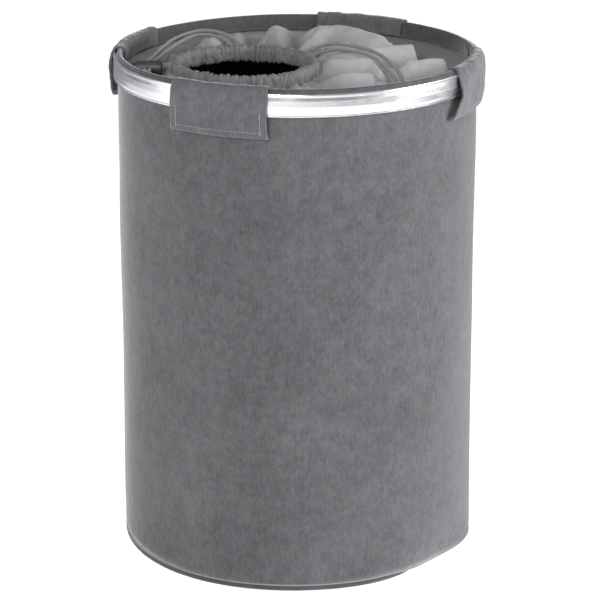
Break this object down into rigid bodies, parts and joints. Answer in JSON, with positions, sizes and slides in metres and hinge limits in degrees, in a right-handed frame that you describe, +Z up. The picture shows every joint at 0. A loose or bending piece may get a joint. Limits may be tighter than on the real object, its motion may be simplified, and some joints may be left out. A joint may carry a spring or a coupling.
{
  "type": "laundry hamper",
  "caption": "Round laundry hamper: stiffened corduroy sleeve, bare aluminium hoop held in sewn loops, and a gathered drawstring fabric lid with sprung cord stops.",
  "frame": {"origin": "centre of the underside, on the floor", "axes": "+Z up along the sleeve's axis, -Y towards the front, +X to the right seen from the front"},
  "size_m": [0.364, 0.36, 0.5058],
  "materials": {
    "corduroy": "mid grey fine corduroy with a brushed nap",
    "lid_polyester": "light grey plain-weave polyester",
    "lining": "grey polyester lining",
    "felt": "dense grey needle felt",
    "piping": "grey woven piping",
    "base_board": "black polypropylene board",
    "hoop_aluminium": "satin polished extruded aluminium",
    "steel": "plain steel",
    "drawcord": "grey braided cord",
    "stop_plastic": "dark grey moulded plastic"
  },
  "bodies": {
    "base": {"base_cover": "corduroy", "base_board": "base_board", "base_lining": "lining", "base_piping": "piping", "outer_sleeve": "corduroy", "stiffener_sleeve": "felt", "lining_sleeve": "lining", "sleeve_seam": "lining"},
    "rim": {"mouth_facing": "corduroy", "loop_front": "corduroy", "loop_right": "corduroy", "loop_back": "corduroy", "loop_left": "corduroy", "lid_fabric": "lid_polyester", "tail_right_outer": "drawcord", "tail_right_inner": "drawcord", "tail_left_outer": "drawcord", "tail_left_inner": "drawcord", "knot_right": "drawcord", "knot_left": "drawcord"},
    "hoop": {"hoop_profile": "hoop_aluminium", "hoop_connector": "steel", "hoop_rivets": "hoop_aluminium"},
    "neck": {"neck_casing": "lid_polyester", "drawcord_right": "drawcord", "drawcord_left": "drawcord"},
    "stop_right": {"stop_barrel_right": "stop_plastic", "stop_spring_right": "steel"},
    "button_right": {"stop_button_right": "stop_plastic"},
    "stop_left": {"stop_barrel_left": "stop_plastic", "stop_spring_left": "steel"},
    "button_left": {"stop_button_left": "stop_plastic"}
  },
  "joints": [
    {"name": "collapse", "type": "slide", "parent": "base", "child": "rim", "axis": [0, 0, -1], "range_m": [0, 0.39], "deforming": ["outer_sleeve", "stiffener_sleeve", "lining_sleeve", "sleeve_seam"]},
    {"name": "hoop_turn", "type": "hinge", "parent": "rim", "child": "hoop", "pos_m": [0, 0, 0.4854], "axis": [0, 0, 1], "continuous": true},
    {"name": "neck_lift", "type": "slide", "parent": "rim", "child": "neck", "axis": [0, 0, 1], "range_m": [-0.03, 0.12], "deforming": ["lid_fabric"]},
    {"name": "stop_slide_right", "type": "slide", "parent": "rim", "child": "stop_right", "axis": [0, -1, 0], "range_m": [-0.008, 0.012]},
    {"name": "stop_press_right", "type": "slide", "parent": "stop_right", "child": "button_right", "axis": [-1, 0, 0], "range_m": [0, 0.003], "stiffness_N_per_m": 150, "springref_m": -0.004, "deforming": ["stop_spring_right"]},
    {"name": "stop_slide_left", "type": "slide", "parent": "rim", "child": "stop_left", "axis": [0, -1, 0], "range_m": [-0.008, 0.008]},
    {"name": "stop_press_left", "type": "slide", "parent": "stop_left", "child": "button_left", "axis": [1, 0, 0], "range_m": [0, 0.003], "stiffness_N_per_m": 150, "springref_m": -0.004, "deforming": ["stop_spring_left"]}
  ]
}
